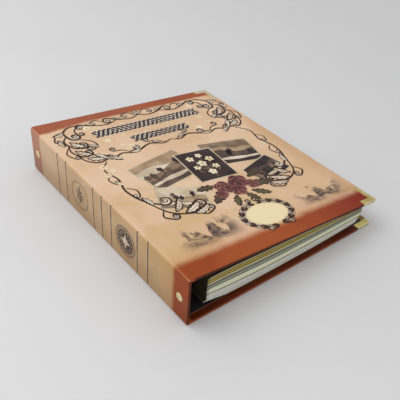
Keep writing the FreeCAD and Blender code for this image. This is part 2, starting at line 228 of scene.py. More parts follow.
TANS = (226, 194, 163), (214, 179, 143)
COVER_BANDS = [width * MM for width in (22, 15.5, 22.5, 6)]
BOARD_EDGE = 0.6 * MM
front_print, shader, place, colour = case_print("front_print", *TANS, *COVER_BANDS, 0.95, BOARD_EDGE)
patches = noise(place, 240, 4)
hill_ink = mix(ramp(patches, 0.4, 0.62), (70, 58, 56), (132, 106, 86))
for hill in ((62, 46, 40, 24), (222, 44, 37, 24)):
    colour = mix(far_hills(place, *[size * MM for size in hill]), colour, hill_ink)
OVAL_MIDDLE = Vector((SPINE_X + 136.6 * MM, 42 * MM - CASE_HALF, 0))
OVAL_WIDE, OVAL_TALL = 27 * MM, 18.5 * MM
to_oval = node("VectorMath", {0: place, 1: OVAL_MIDDLE}, operation="SUBTRACT").outputs[0]
in_ovals = stretched(to_oval, 1 / OVAL_WIDE, 1 / OVAL_TALL, 0)
from_oval = node("VectorMath", {0: in_ovals}, operation="LENGTH").outputs["Value"]
colour = mix(ramp(from_oval, 0.8, 1.12, 0.92, 0.0), colour, (238, 221, 178))
flecks = noise(place, 120, 2)
height = axes(place)[1]
at_flecks = times(ramp(height, 20 * MM, 90 * MM), ramp(height, 128 * MM, 136 * MM, 1.0, 0.0))
flecked = times(ramp(flecks, 0.6, 0.7, 0.0, 0.45), at_flecks)
colour = mix(flecked, colour, (240, 222, 188))
# Painted shade on the front board's head and tail edges.
give(shader, Base_Color=shade_board_ends(colour, 0.8))
dress(nodes["front_wrap"], front_print)

# The back of the case has the same ground and bands, and no picture. Its turn-ins inside are darkened with
# painted shade, a light line of painted highlight runs along the endpaper's edge, and the edges that stand on
# the table get painted shade along the foot.
BACK_THICK = 3.0 * MM
LINING_INSET = 8.0 * MM
back_print, shader, place, colour = case_print("back_print", *TANS, *COVER_BANDS, 0.6, BOARD_EDGE)
_, y, height = axes(place)
on_top = ramp(height, BACK_THICK - 0.5 * MM, BACK_THICK)
# Painted shade: the turn-ins on the inside of the back board are darkened.
colour = mix(times(on_top, 0.78), colour, (58, 12, 2))
to_lining = away(calc("ABSOLUTE", y), CASE_HALF - LINING_INSET)
# Painted highlight: a light line on the turn-ins along the endpaper's edge.
endpaper_edge_highlight = ramp(to_lining, 0.4 * MM, 1.2 * MM, 0.6, 0.0)
colour = mix(times(on_top, endpaper_edge_highlight), colour, (160, 128, 108))
# Painted shade along the foot of the back cover's edges, next to the table.
on_edge = ramp(facing(place)[2], 0.5, 0.8, 1.0, 0.0)
back_foot_shade = times(on_edge, ramp(height, 0.5 * MM, 1.7 * MM, 0.7, 0.0))
give(shader, Base_Color=mix(back_foot_shade, colour, (56, 20, 8)))
dress(nodes["back_wrap"], back_print)

# Spine: the same wrap over the spine board, a shade browner, with rules across it like the bands of an old
# binding. Each dark rule is printed, with a light line of painted highlight beside it that gives it an
# embossed look, and is rubbed here and there.
SPINE_TANS = (210, 177, 140), (194, 160, 122)
SPINE_RULES = [t * MM for t in (65.0, 83.5, 132.6, 151.2, 168.9, 228.2, 247.8)]


def ruled(place, colour):
    """Lays the rules, a light line of painted highlight and a dark one each, over the ground."""
    y = axes(place)[1]
    worn = ramp(noise(place, 160, 4), 0.36, 0.6, 0.65, 0.95)
    # The light line is a painted highlight beside each dark rule.
    highlight_line = 1.2 * MM, 0.55 * MM, (236, 214, 186)
    dark_line = 0.0, 1.2 * MM, (62, 40, 28)
    for offset, width, line_ink in (highlight_line, dark_line):
        share = None
        for t in SPINE_RULES:
            line = ramp(away(y, t - CASE_HALF + offset), 0.6 * width, 1.2 * width, 1.0, 0.0)
            share = calc("MAXIMUM", share, line) if share else line
        colour = mix(times(share, worn), colour, line_ink)
    return colour


SPINE_BANDS = [width * MM for width in (21.8, 21.8, 23.4, 4.2)]
spine_print, shader, place, colour = case_print("spine_print", *SPINE_TANS, *SPINE_BANDS, 0.0, 0.0)
_, y, height = axes(place)
to_head = ramp(y, 30 * MM, 130 * MM, 0.0, 0.3)
to_tail = ramp(y, -110 * MM, 10 * MM, 0.35, 0.0)
in_band = ramp(calc("ABSOLUTE", y), CASE_HALF - 28 * MM, CASE_HALF - 20 * MM)
# Painted shade: the spine darkens towards the table, most in the terracotta bands.
spine_foot_shade = ramp(height, 2 * MM, 46 * MM, 0.35, 0.0)
colour = mix(to_head, colour, (222, 190, 164))
yellowed = times(to_tail, calc("SUBTRACT", 1.0, in_band))
colour = ruled(place, mix(yellowed, colour, (184, 148, 84)))
colour = mix(spine_foot_shade, colour, mix(in_band, (112, 76, 46), (70, 18, 8)))
# Painted shade on the spine board's head and tail edges.
give(shader, Base_Color=shade_board_ends(colour, 0.7))
dress(nodes["spine_wrap"], spine_print)

# Creases: between the boards the same wrap goes round each long corner of the spine as one scored fold.
# The film is paler along the ridge of the fold, partly rubbed and partly a painted highlight.
hinge = {joint["name"]: Vector(joint["pos_m"]) for joint in frame["joints"]}
FOLD_RADIUS = 3.2 * MM
JOINT_GAP = 4.2 * MM
FRONT_SLOPE = math.radians(4.9518)
cover_crease_print, shader, place, colour = case_print("cover_crease_print", *TANS, *COVER_BANDS, 0.0, 0.0)
give(shader, Base_Color=colour)


def placed(name, data):
    """A new object in the scene."""
    made = bpy.data.objects.new(name, data)
    bpy.context.scene.collection.objects.link(made)
    return made


def strip_along_spine(name, outline, caps, ridge_of, finish_index, finishes):
    """A closed outline of (x, z) points, run along the case from tail to head, with a finish for each side.
    caps are the patches that close its two ends."""
    rows = 33
    count = len(outline)
    points = []
    for row in range(rows):
        y = -CASE_HALF + 2 * CASE_HALF * row / (rows - 1)
        points += [(x, y, z) for x, z in outline]
    faces = []
    for row in range(rows - 1):
        for i in range(count):
            a = row * count + i
            b = row * count + (i + 1) % count
            faces.append((a, b, b + count, a + count))
    sides = len(faces)
    for end in (0, (rows - 1) * count):
        faces += [tuple(end + i for i in cap) for cap in caps]
    mesh = bpy.data.meshes.new(name)
    mesh.from_pydata(points, [], faces)
    fix = bmesh.new()
    fix.from_mesh(mesh)
    bmesh.ops.recalc_face_normals(fix, faces=fix.faces)
    fix.to_mesh(mesh)
    fix.free()
    mesh.attributes.new("ridge", "FLOAT", "POINT").data.foreach_set("value", ridge_of * rows)
    at_ends = [finish_index[cap[1]] for cap in caps] * 2
    mesh.polygons.foreach_set("material_index", finish_index * (rows - 1) + at_ends)
    piece = placed(name, mesh)
    mesh.polygons.foreach_set("use_smooth", [i < sides for i in range(len(faces))])
    mesh.set_sharp_from_angle(angle=math.radians(40))
    dress(piece, *finishes)
    return piece


def fold_outline(axis, first, last):
    """Round a hinge line from one bearing to the other, filled in to the hinge line as the glued layers are.
    On both sides a thin lip laps over the wrap of the board, whose free edge runs in a slot under the lip."""
    gap, lip, neck, slot = JOINT_GAP - 0.05 * MM, 2.5 * MM, 0.6 * MM, FOLD_RADIUS - 0.32 * MM
    top, under, core, steps = FOLD_RADIUS + 0.03 * MM, FOLD_RADIUS + 0.01 * MM, 0.1 * MM, 14
    sense = 1 if last > first else -1

    def at(bearing, radius, along):
        out = Vector((math.cos(bearing), math.sin(bearing)))
        return tuple(axis + out * radius + Vector((-out.y, out.x)) * sense * along)

    arc = [at(first + (last - first) * i / steps, top, 0.0) for i in range(steps + 1)]
    lap = [(top, lip), (under, lip), (under, neck), (slot, neck), (slot, gap), (core, gap)]
    near = [at(first, radius, -along) for radius, along in reversed(lap)]
    far = [at(last, radius, along) for radius, along in lap]
    hub = at((first + last) / 2, core, 0.0)
    outline = near + arc + far + [hub]
    start, end, middle = len(near), len(near) + steps, len(outline) - 1
    caps = [(middle, i, i + 1) for i in range(start, end)]
    for foot, step in ((start, -1), (end, 1)):
        caps += [
            (foot, foot + step, foot + 2 * step, foot + 3 * step),
            (middle, foot, foot + 3 * step, foot + 4 * step),
            (middle, foot + 4 * step, foot + 5 * step, foot + 6 * step),
        ]
    ridge = [math.sin(math.pi * i / steps) for i in range(steps + 1)]
    ridge_of = [0.0] * start + ridge + [0.0] * (len(far) + 1)
    halves = [0] * (start + steps // 2) + [1] * (steps // 2 + 1 + len(far)) + [0]
    return outline, caps, ridge_of, halves


def fold_piece(name, hinge_line, first, last, crease, finishes):
    axis = Vector((hinge_line.x, hinge_line.z))
    piece = strip_along_spine(name, *fold_outline(axis, first, last), finishes)
    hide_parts(crease)
    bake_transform(piece)
    return axis


front_axis = fold_piece(
    "front_fold", hinge["cover_open"], math.pi, math.pi / 2 - FRONT_SLOPE, "front_crease",
    (spine_print, cover_crease_print),
)
back_axis = fold_piece(
    "back_fold", hinge["spine_fold"], math.pi * 1.5, math.pi, "back_crease",
    (cover_crease_print, spine_print),
)

# Front print: old cards, a spray of roses and a frame of pen scrolls, printed over the parchment ground.
# Each ink is a thin skin that lies up to a quarter of a millimetre over the wrap of the front board.
INK_TONES = {
    "ink": ((56, 36, 28), (74, 50, 40)),
    "pale": ((232, 218, 198), (212, 192, 166)),
    "night": ((38, 32, 44), (58, 48, 56)),
    "mount": ((212, 196, 170), (190, 170, 140)),
    "sepia": ((186, 160, 130), (158, 130, 100)),
    "taupe": ((146, 122, 98), (116, 94, 74)),
    "shade": ((106, 84, 70), (80, 62, 54)),
    "umber": ((60, 44, 44), (40, 29, 31)),
    "mist": ((222, 208, 188), (192, 174, 148)),
    "cream": ((246, 234, 204), (230, 210, 172)),
    "gold": ((196, 156, 86), (160, 118, 58)),
    "rim": ((168, 118, 104), (136, 88, 80)),
    "rose": ((98, 50, 50), (66, 30, 34)),
    "olive": ((104, 96, 66), (74, 66, 46)),
}


def ink_finish(name, light, dark):
    made, shader, place = finish_of(name, **SATIN_FILM)
    cloud, dots = noise(place, 55, 5), noise(place, 900, 2)
    toned = mix(ramp(cloud, 0.38, 0.62), light, dark)
    give(
        shader,
        Base_Color=mix(ramp(dots, 0.55, 0.75, 0.0, 0.4), toned, dark),
        Roughness=ramp(dots, 0.3, 0.7, 0.4, 0.5),
    )
    return made


INK_FINISHES = {ink: ink_finish(f"{ink}_ink", *tones) for ink, tones in INK_TONES.items()}
QUARTER_STEPS = 5
SCROLL_LIFT = 0.14
LEAF_LIFT = 0.16
BLOSSOM_LIFT = 0.19
ROSE_LIFT = 0.2
skins = {}


def put(ink, points, lift, faces=None):
    """Adds a printed patch, as places in mm, to the skin of its ink."""
    skins.setdefault(ink, []).append((points, faces or [range(len(points))], lift))


def turned(points, degrees, s, t, size=1.0):
    c, d = math.cos(math.radians(degrees)) * size, math.sin(math.radians(degrees)) * size
    return [(s + x * c - y * d, t + x * d + y * c) for x, y in points]


def pen_line(ink, path, widths, lift):
    """A stroke of changing width along a path."""
    left, right = [], []
    for i, (x, y) in enumerate(path):
        ax, ay = path[max(i - 1, 0)]
        bx, by = path[min(i + 1, len(path) - 1)]
        span = math.hypot(bx - ax, by - ay) or 1.0
        nx, ny = -(by - ay) / span * widths[i] / 2, (bx - ax) / span * widths[i] / 2
        left.append((x + nx, y + ny))
        right.append((x - nx, y - ny))
    count = len(path)
    put(ink, left + right, lift, [(i, i + count, i + count + 1, i + 1) for i in range(count - 1)])


def round_points(count):
    """Points round a circle of radius 1."""
    turns = [math.tau * i / count for i in range(count)]
    return [(math.cos(a), math.sin(a)) for a in turns]


def dot(ink, s, t, radius, lift):
    put(ink, turned(round_points(18), 0, s, t, radius), lift)


def between(a, b, c, d, k):
    """The share k of the way from b to c on a smooth line through a, b, c and d."""
    bend, twist = 2 * a - 5 * b + 4 * c - d, 3 * b - a - 3 * c + d
    return 0.5 * (2 * b + (c - a) * k + bend * k * k + twist * k ** 3)


def through(points, steps=9):
    """A smooth line through the given points."""
    ends = [points[0], *points, points[-1]]
    path = []
    for near in zip(ends, ends[1:], ends[2:], ends[3:]):
        for i in range(steps):
            path.append(tuple(between(*marks, i / steps) for marks in zip(*near)))
    return path + [points[-1]]


def wound(path, radius, quarters, hand):
    """Carries a line on into a scroll that winds inwards; hand is 1 to the left and -1 to the right."""
    (ax, ay), (x, y) = path[-2:]
    heading = math.atan2(y - ay, x - ax)
    path = list(path)
    step, shrink = math.pi / 2 / QUARTER_STEPS, 0.955
    for i in range(quarters * QUARTER_STEPS):
        r = radius * shrink ** i
        heading += hand * step
        x += r * step * math.cos(heading)
        y += r * step * math.sin(heading)
        path.append((x, y))
    return path


def scroll(points, radius, quarters, hand, thick, mirror=None):
    """A pen scroll: a swelling stem and a wound end with a ball, its eye filled pale."""
    path = wound(through(points), radius, quarters, hand)
    if mirror:
        path = [(2 * mirror - x, y) for x, y in path]
    last = len(path) - 1
    swell = [math.sin(math.pi * min(0.06 + i / last, 1.0)) ** 0.7 for i in range(last + 1)]
    eye = path[-quarters * QUARTER_STEPS:]
    s = sum(x for x, y in eye) / len(eye)
    t = sum(y for x, y in eye) / len(eye)
    dot("pale", s, t, radius * 0.72, SCROLL_LIFT - 0.02)
    pen_line("ink", path, [0.7 + (1.35 * thick - 0.7) * share for share in swell], SCROLL_LIFT)
    dot("ink", *path[-1], 0.42 * thick + 0.3, SCROLL_LIFT + 0.004)


def leaf_form(length, wide, bend):
    """A curled leaf's edge with four lobes, from its stalk, round the tip and back."""
    left, right = [], []
    x = y = heading = 0.0
    steps, lobes = 24, 4
    for i in range(steps + 1):
        k = i / steps
        half = wide / 2 * math.sin(math.pi * k) ** 0.7
        half *= 1 + 0.22 * math.sin(math.tau * lobes * k)
        c, d = math.cos(math.radians(heading)), math.sin(math.radians(heading))
        left.append((x - d * half, y + c * half))
        right.append((x + d * half * 0.85, y - c * half * 0.85))
        x += length / steps * c
        y += length / steps * d
        heading += bend / steps
    return left + right[::-1][1:-1]


def scroll_leaf(s, t, heading, length, wide, bend, mirror=None, lift=LEAF_LIFT, blade="pale"):
    """A dark leaf with a paler blade and a dark vein."""
    outer = turned(leaf_form(length, wide, bend), heading, s, t)
    start = turned([(length * 0.08, 0)], heading, s, t)[0]
    inner = turned(leaf_form(length * 0.84, wide * 0.52, bend * 0.84), heading, *start)
    vein, steps = [start], 10
    for i in range(steps):
        a = math.radians(heading + bend * 0.07 * i)
        x, y = vein[-1]
        vein.append((x + length * 0.075 * math.cos(a), y + length * 0.075 * math.sin(a)))
    if mirror:
        outer, inner, vein = ([(2 * mirror - x, y) for x, y in part] for part in (outer, inner, vein))
    put("ink", outer, lift)
    put(blade, inner, lift + 0.012)
    pen_line("ink", vein, [0.3 + 0.5 * (1 - i / steps) for i in range(steps + 1)], lift + 0.02)


def blossom(s, t, size, turn, lift=BLOSSOM_LIFT):
    petals = 5
    petal = [(0.1, 0), (0.42, 0.3), (0.8, 0.32), (1.0, 0.08), (0.94, -0.1), (0.78, -0.32), (0.42, -0.3)]
    for i in range(petals):
        put("cream", turned(petal, turn + 360 / petals * i, s, t, size), lift + 0.002 * i)
    dot("gold", s, t, size * 0.2, lift + 0.014)


def rose(s, t, size, turn):
    """A full rose: round petals that overlap inwards, each with a paler rim."""
    round_petal = [(0.6 * x + 0.4, 0.56 * y) for x, y in round_points(14)]
    for ring, share in enumerate((1.0, 0.72, 0.46, 0.26)):
        petals = 5 - ring
        for i in range(petals):
            bearing = turn + 360 / petals * i + 37 * ring
            level = ROSE_LIFT + 0.01 * ring + 0.0016 * i
            put("rim", turned(round_petal, bearing, s, t, size * share), level)
            near = turned([(0.03, 0.02)], bearing, s, t, size)[0]
            put("rose", turned(round_petal, bearing, *near, size * share * 0.88), level + 0.0008)


def card(paper, s, t, wide, tall, turn, lift):
    """An old print on card: a pale mount with a toned ground. Gives its own grid, from -1 to 1 each way."""
    def grid(points):
        return turned([(x * wide / 2, y * tall / 2) for x, y in points], turn, s, t)

    edge = 1.6
    put("mount", grid([(-1, -1), (1, -1), (1, 1), (-1, 1)]), lift)
    x, y = 1 - 2 * edge / wide, 1 - 2 * edge / tall
    put(paper, grid([(-x, -y), (x, -y), (x, y), (-x, y)]), lift + 0.006)
    return grid


def landscape(grid, lift, seed, tones, trees):
    """Hills in three tones behind each other, a stretch of water and a few trees."""
    chance = random.Random(seed)
    draw = chance.uniform
    side, steps, crown_sides = 0.94, 24, 16
    for level, (tone, base) in enumerate(zip(tones, (0.42, 0.12, -0.3))):
        waves = [(draw(1.5, 3.5), draw(0, 6), 0.13), (draw(4, 8), draw(0, 6), 0.065)]
        top = []
        for i in range(steps + 1):
            x = -side + 2 * side * i / steps
            top.append((x, base + sum(high * math.sin(often * x + start) for often, start, high in waves)))
        put(tone, grid([(-side, -side), (side, -side)] + top[::-1]), lift + 0.006 * level)
    water = [(-side, -0.5), (-0.2, -0.42), (0.5, -0.5), (side, -0.46)]
    water += [(side, -0.62), (0.1, -0.7), (-0.5, -0.62), (-side, -0.66)]
    put("mist", grid(water), lift + 0.02)
    for _ in range(trees):
        x, foot, tall = draw(-0.85, 0.85), draw(-0.5, -0.1), draw(0.35, 0.7)
        fork = foot + tall * 0.5
        trunk = [(x - 0.012, foot), (x + 0.012, foot), (x + 0.008, fork), (x - 0.008, fork)]
        put("umber", grid(trunk), lift + 0.024)
        crown = []
        for i in range(crown_sides):
            a = math.tau * i / crown_sides
            swell = 1 + 0.22 * math.sin(5 * a + x * 9) + draw(-0.1, 0.1)
            up = foot + tall * 0.66 + tall * 0.36 * swell * math.sin(a)
            crown.append((x + 0.1 * swell * math.cos(a), up))
        put(chance.choice(("umber", "shade")), grid(crown), lift + 0.027)


# Cards, the largest below.
grid = card("sepia", 92, 162, 76, 54, 12, 0.03)
landscape(grid, 0.042, 3, ("mist", "taupe", "shade"), 6)
grid = card("taupe", 186, 160, 70, 52, -11, 0.033)
landscape(grid, 0.046, 11, ("sepia", "shade", "umber"), 5)
grid = card("mount", 74, 108, 56, 40, -24, 0.085)
landscape(grid, 0.094, 5, ("mist", "sepia", "taupe"), 4)
grid = card("umber", 139, 150, 52, 64, -5, 0.09)
BUNCH = [
    (-0.45, 0.5, 5.4, 10), (0.1, 0.62, 4.6, 40), (0.45, 0.3, 5.8, 25), (-0.1, 0.1, 6.4, 5),
    (-0.5, -0.1, 4.6, 60), (0.4, -0.2, 5.0, 30), (0.0, -0.5, 5.6, 15),
]
for x, y, size, turn in BUNCH:
    stalk = through([(0.05, -0.92), (x * 0.3, -0.3 + y * 0.3), (x, y)], 6)
    pen_line("taupe", grid(stalk), [0.7] * len(stalk), 0.1)
    blossom(*grid([(x, y)])[0], size, turn, 0.112)
for x, y, heading in ((-0.3, -0.5, 130), (0.3, -0.55, 40), (-0.2, -0.15, 140), (0.25, 0.02, 50)):
    scroll_leaf(*grid([(x, y)])[0], heading, 11, 4.6, 20, lift=0.104, blade="taupe")
grid = card("umber", 200, 110, 54, 38, 17, 0.087)
landscape(grid, 0.096, 21, ("shade", "taupe", "umber"), 5)

# A spray of roses with its leaves.
ROSE_LEAVES = [
    (124, 96, 200, 30), (120, 108, 165, 26), (160, 94, -20, 32), (166, 106, 15, 28), (142, 84, -80, 22),
    (152, 84, -50, 24), (130, 84, 230, 22),
]
ROSES = [
    (127, 102, 12.5, 0), (150, 104, 13.5, 30), (139, 91, 11.0, 70), (162, 93, 9.0, 15), (116, 92, 8.0, 50),
]
for s, t, heading, length in ROSE_LEAVES:
    scroll_leaf(s, t, heading, length, length * 0.42, 24, lift=0.17, blade="olive")
for bloom in ROSES:
    rose(*bloom)

# Scroll frame, drawn for the fore-edge half and turned over for the other.
MIDDLE = 137.0
FRAME_SCROLLS = [
    ([(MIDDLE, 289), (150, 284), (166, 287), (179, 295)], 7.0, 6, -1, 2.0),
    ([(170, 288), (188, 282), (206, 287), (219, 294)], 6.4, 6, -1, 1.9),
    ([(143, 293), (150, 299), (158, 296)], 4.6, 5, -1, 1.5),
    ([(190, 291), (197, 297), (205, 294)], 4.2, 5, -1, 1.4),
    ([(214, 292), (234, 294), (247, 284), (247, 270)], 8.6, 7, -1, 2.3),
    ([(247, 276), (256, 264), (253, 249), (243, 243)], 7.6, 7, -1, 2.2),
    ([(255, 256), (259, 240), (252, 226), (242, 226)], 6.2, 6, -1, 2.0),
    ([(256, 234), (254, 218), (243, 208), (231, 210)], 6.4, 6, -1, 2.0),
    ([(236, 262), (226, 254), (224, 243), (232, 236)], 5.2, 6, 1, 1.7),
    ([(222, 293), (232, 284), (233, 274)], 5.0, 6, -1, 1.7),
    ([(258, 250), (266, 238), (262, 226)], 4.6, 6, -1, 1.5),
    ([(250, 280), (260, 278), (265, 270)], 4.6, 6, -1, 1.6),
    ([(MIDDLE, 217), (150, 213), (166, 219), (182, 213)], 6.2, 6, 1, 2.0),
    ([(145, 214), (156, 222), (166, 224)], 4.6, 6, 1, 1.5),
    ([(196, 211), (204, 220), (214, 222)], 4.6, 6, 1, 1.5),
    ([(176, 216), (192, 209), (208, 214), (221, 208)], 6.2, 6, 1, 1.9),
    ([(234, 206), (246, 190), (242, 168), (247, 146), (241, 122), (226, 106)], 8.4, 7, -1, 2.0),
    ([(244, 180), (252, 172), (250, 163)], 4.2, 5, -1, 1.3),
    ([(244, 150), (236, 142), (238, 132)], 4.4, 5, 1, 1.4),
    ([(240, 120), (228, 92), (206, 80), (188, 84)], 8.0, 7, -1, 2.2),
    ([(232, 98), (238, 88), (230, 80)], 5.4, 6, -1, 1.8),
    ([(204, 80), (194, 72), (182, 76)], 5.0, 6, -1, 1.7),
]
FRAME_LEAVES = [
    (164, 287, 60, 13, 6, -60), (204, 286, 62, 12, 5.5, -60), (246, 286, -50, 19, 9, 70),
    (258, 270, -60, 17, 8, -60), (240, 226, -150, 20, 9, 60), (228, 212, -165, 18, 8, 50),
    (250, 262, -100, 22, 11, -70), (254, 242, -110, 22, 10, -60), (250, 222, -140, 22, 10, -40),
    (236, 246, -170, 15, 7, 60), (182, 214, -30, 18, 8, 60), (216, 212, -20, 17, 7, 70),
    (150, 217, 40, 13, 6, -60), (206, 79, 190, 26, 11, -70), (214, 84, 175, 28, 13, -50),
    (222, 90, 150, 24, 10, -50), (240, 128, -120, 20, 8, 40),
]
for mirror in (None, MIDDLE):
    for form in FRAME_SCROLLS:
        scroll(*form, mirror)
    for form in FRAME_LEAVES:
        scroll_leaf(*form, mirror)
for heading, length in ((90, 13), (60, 11), (120, 11), (32, 9), (148, 9)):
    scroll_leaf(MIDDLE, 289, heading, length, length * 0.42, 0)

# Two plain braided bands in the upper part of the frame.


def braid(s, t, long, tall, waves):
    """Three strands that cross, each dark with a pale edge."""
    steps = 14
    half = steps // 2
    for strand in range(3):
        path = []
        for i in range(waves * steps + 1):
            a = i / steps * math.tau + strand * math.tau / 3
            path.append((s - long / 2 + long * i / (waves * steps), t + tall / 2 * math.sin(a)))
        for i in range(0, waves * steps, half):
            part = path[i:i + half + 1]
            over = 0.012 * ((i // half + strand) % 3)
            pen_line("pale", part, [4.8] * len(part), 0.05 + over)
            pen_line("night", part, [3.4] * len(part), 0.055 + over)


braid(MIDDLE, 265, 158, 13, 8)
braid(MIDDLE, 237, 84, 11, 4)

# A wreath of scroll leaves round a blank oval.
WREATH_LEVEL, WREATH_WIDE, WREATH_TALL = 42.0, 30.0, 21.0
WREATH_LEAVES = 13
for side in (1, -1):
    for i in range(WREATH_LEAVES):
        a = -math.pi / 2 + side * (0.1 + 2.72 * i / (WREATH_LEAVES - 1))
        s, t = MIDDLE + WREATH_WIDE * math.cos(a), WREATH_LEVEL + WREATH_TALL * math.sin(a)
        along = math.degrees(math.atan2(side * WREATH_TALL * math.cos(a), -side * WREATH_WIDE * math.sin(a)))
        blade = "pale" if i % 2 else "umber"
        for lean in (34, -30):
            scroll_leaf(s, t, along + lean, 8.5, 3.9, -lean, lift=0.17 + 0.002 * i, blade=blade)
    scroll([(MIDDLE + side * 4, 20), (MIDDLE + side * 14, 17)], 4.0, 5, side, 1.3)
    scroll([(MIDDLE + side * 9, 62), (MIDDLE + side * 3, 66)], 3.6, 5, -side, 1.3)

# Loose blossoms between the scrolls.
LOOSE_BLOSSOMS = [
    (58, 283, 5.0, 0), (70, 279, 4.0, 30), (30, 196, 5.4, 12), (26, 180, 4.6, 40), (36, 186, 3.6, 20),
    (66, 246, 4.2, 10), (208, 248, 4.2, 30), (236, 196, 5.2, 15), (246, 200, 4.0, 40), (86, 224, 4.2, 22),
    (190, 226, 4.4, 50), (214, 281, 4.4, 12), (76, 229, 3.4, 0), (30, 160, 3.4, 9), (240, 158, 3.6, 33),
]
for flower in LOOSE_BLOSSOMS:
    blossom(*flower)


def print_piece(name, inks, on_face, body):
    """Lays the patches of these inks on a face of the case, as one piece of the print."""
    points, faces, ink_of = [], [], []
    for index, ink in enumerate(inks):
        for outline, rows, lift in skins.get(ink, []):
            first = len(points)
            points += [on_face(s, t, lift) for s, t in outline]
            for row in rows:
                ring = [outline[i] for i in row]
                area = sum(a[0] * b[1] - b[0] * a[1] for a, b in zip(ring, ring[1:] + ring[:1]))
                row = [first + i for i in row]
                faces.append(row if area > 0 else row[::-1])
                ink_of.append(index)
    mesh = bpy.data.meshes.new(name)
    mesh.from_pydata(points, [], faces)
    mesh.polygons.foreach_set("material_index", ink_of)
    piece = placed(name, mesh)
    dress(piece, *[INK_FINISHES[ink] for ink in inks])
    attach(piece, body)


FRONT_RUN = Vector((math.cos(FRONT_SLOPE), 0, -math.sin(FRONT_SLOPE)))
FRONT_OUT = Vector((math.sin(FRONT_SLOPE), 0, math.cos(FRONT_SLOPE)))


def on_front(s, t, lift):
    """A place on the front, in mm from the spine's edge and from the tail, lifted off the wrap."""
    place = hinge["cover_open"] + FRONT_RUN * (s * MM - FOLD_RADIUS) + FRONT_OUT * (FOLD_RADIUS + lift * MM)
    return (place.x, t * MM - CASE_HALF, place.z)


print_piece("front_cards", ["mount", "sepia", "taupe", "shade", "umber", "mist"], on_front, "front_cover")
print_piece("front_flowers", ["cream", "gold", "rim", "rose", "olive"], on_front, "front_cover")
print_piece("front_scrolls", ["ink", "pale", "night"], on_front, "front_cover")

# Spine print: two round medallions between the rules, one with a compass star in a beaded ring and one with
# a leafy sprig in a thin ring, printed in brown on the spine's wrap.
SPINE_MIDDLE = 29.9
STAR, SPRIG = (208.8, SPINE_MIDDLE), (115.9, SPINE_MIDDLE)
UNDER, OVER, TOP = 0.05, 0.06, 0.07
BEADS, BEAMS = 24, 16
BEAM_FOOT = 10.2 * math.cos(0.06), 10.2 * math.sin(0.06)
BEAM = [(BEAM_FOOT[0], -BEAM_FOOT[1]), (12.2, 0), BEAM_FOOT]
SPRIG_LEAVES = [(-8, 35, 9), (-7, 145, 9), (-3, 30, 9.5), (-2, 150, 9.5), (2, 40, 8), (3, 140, 8), (6, 90, 8)]
skins = {}
for middle, radius, width in ((STAR, 18.2, 0.7), (STAR, 13.2, 1.0), (SPRIG, 17.6, 0.6), (SPRIG, 16.2, 0.3)):
    ring_line = turned(round_points(48), 0, *middle, radius)
    ring_line.append(ring_line[0])
    pen_line("ink", ring_line, [width] * len(ring_line), UNDER)
for bead in turned(round_points(BEADS), 0, *STAR, 15.7):
    dot("ink", *bead, 1.75, UNDER)
    dot("pale", *bead, 0.85, OVER)
dot("shade", *STAR, 12.6, UNDER)
for i in range(BEAMS):
    put("pale", turned(BEAM, 360 / BEAMS * i, *STAR), OVER)
for share, turn, lift in ((0.62, 45, OVER), (1.0, 0, TOP)):
    for i in range(4):
        bearing = turn + 90 * i
        put("pale", turned([(0, 0), (2.4, 2.4), (10.0, 0)], bearing, *STAR, share), lift)
        put("mount", turned([(0, 0), (10.0, 0), (2.4, -2.4)], bearing, *STAR, share), lift)
stalk = through(turned([(-2, -12), (1, -3), (0, 6)], 0, *SPRIG))
pen_line("ink", stalk, [0.9] * len(stalk), OVER)
for up, heading, length in SPRIG_LEAVES:
    bend = 20 if heading < 90 else -20
    scroll_leaf(SPRIG[0], SPRIG[1] + up, heading, length, length * 0.4, bend, lift=TOP, blade="mount")


def on_spine(s, height, lift):
    """A place on the spine, in mm from the head and up from the table, lifted off the wrap."""
    return (SPINE_X - lift * MM, CASE_HALF - s * MM, height * MM)


print_piece("spine_medallions", ["ink", "pale", "mount", "shade"], on_spine, "spine")

# Endpapers: matt black paper pasted over the inside of each board and over the edges of the turn-ins.
# A strip of the same paper crosses each joint inside.
endpaper, shader, place = finish_of("endpaper")
fibre = noise(stretched(place, 160, 900, 900), 1.0, 5)
fleck = noise(place, 1400, 2)
give(
    shader,
    Base_Color=mix(ramp(fibre, 0.3, 0.7), (20, 17, 16), (34, 30, 28)),
    Roughness=ramp(fleck, 0.3, 0.7, 0.62, 0.82),
    Normal=relief(fleck, 0.02 * MM),
)
for lining in ("back_lining", "spine_lining", "front_lining"):
    dress(nodes[lining], endpaper)
SPINE_INSIDE = -131.178 * MM
INSIDE_OFFSET = 0.05 * MM


def joint_outline(axis, rise, along):
    """From the spine's lining across the joint to the cover's lining. rise is 1 for the upper joint."""
    lap, paper, lift, steps = 3.0 * MM, 0.25 * MM, 0.04 * MM, 8
    inward = Vector((along.y, -along.x)) * rise
    foot = Vector((SPINE_INSIDE, axis.y - rise * JOINT_GAP))
    head = axis + along * JOINT_GAP + inward * INSIDE_OFFSET
    corner = Vector((SPINE_INSIDE, axis.y)) + inward * INSIDE_OFFSET
    line = [foot - Vector((0, rise)) * lap]
    for i in range(steps + 1):
        t = i / steps
        line.append(foot * (1 - t) ** 2 + corner * 2 * t * (1 - t) + head * t * t)
    line.append(head + along * lap)
    upper, lower = [], []
    for i, point in enumerate(line):
        run = (line[min(i + 1, len(line) - 1)] - line[max(i - 1, 0)]).normalized()
        off = Vector((run.y, -run.x)) * rise
        upper.append(tuple(point + off * (lift + paper)))
        lower.append(tuple(point + off * lift))
    return upper + lower[::-1]


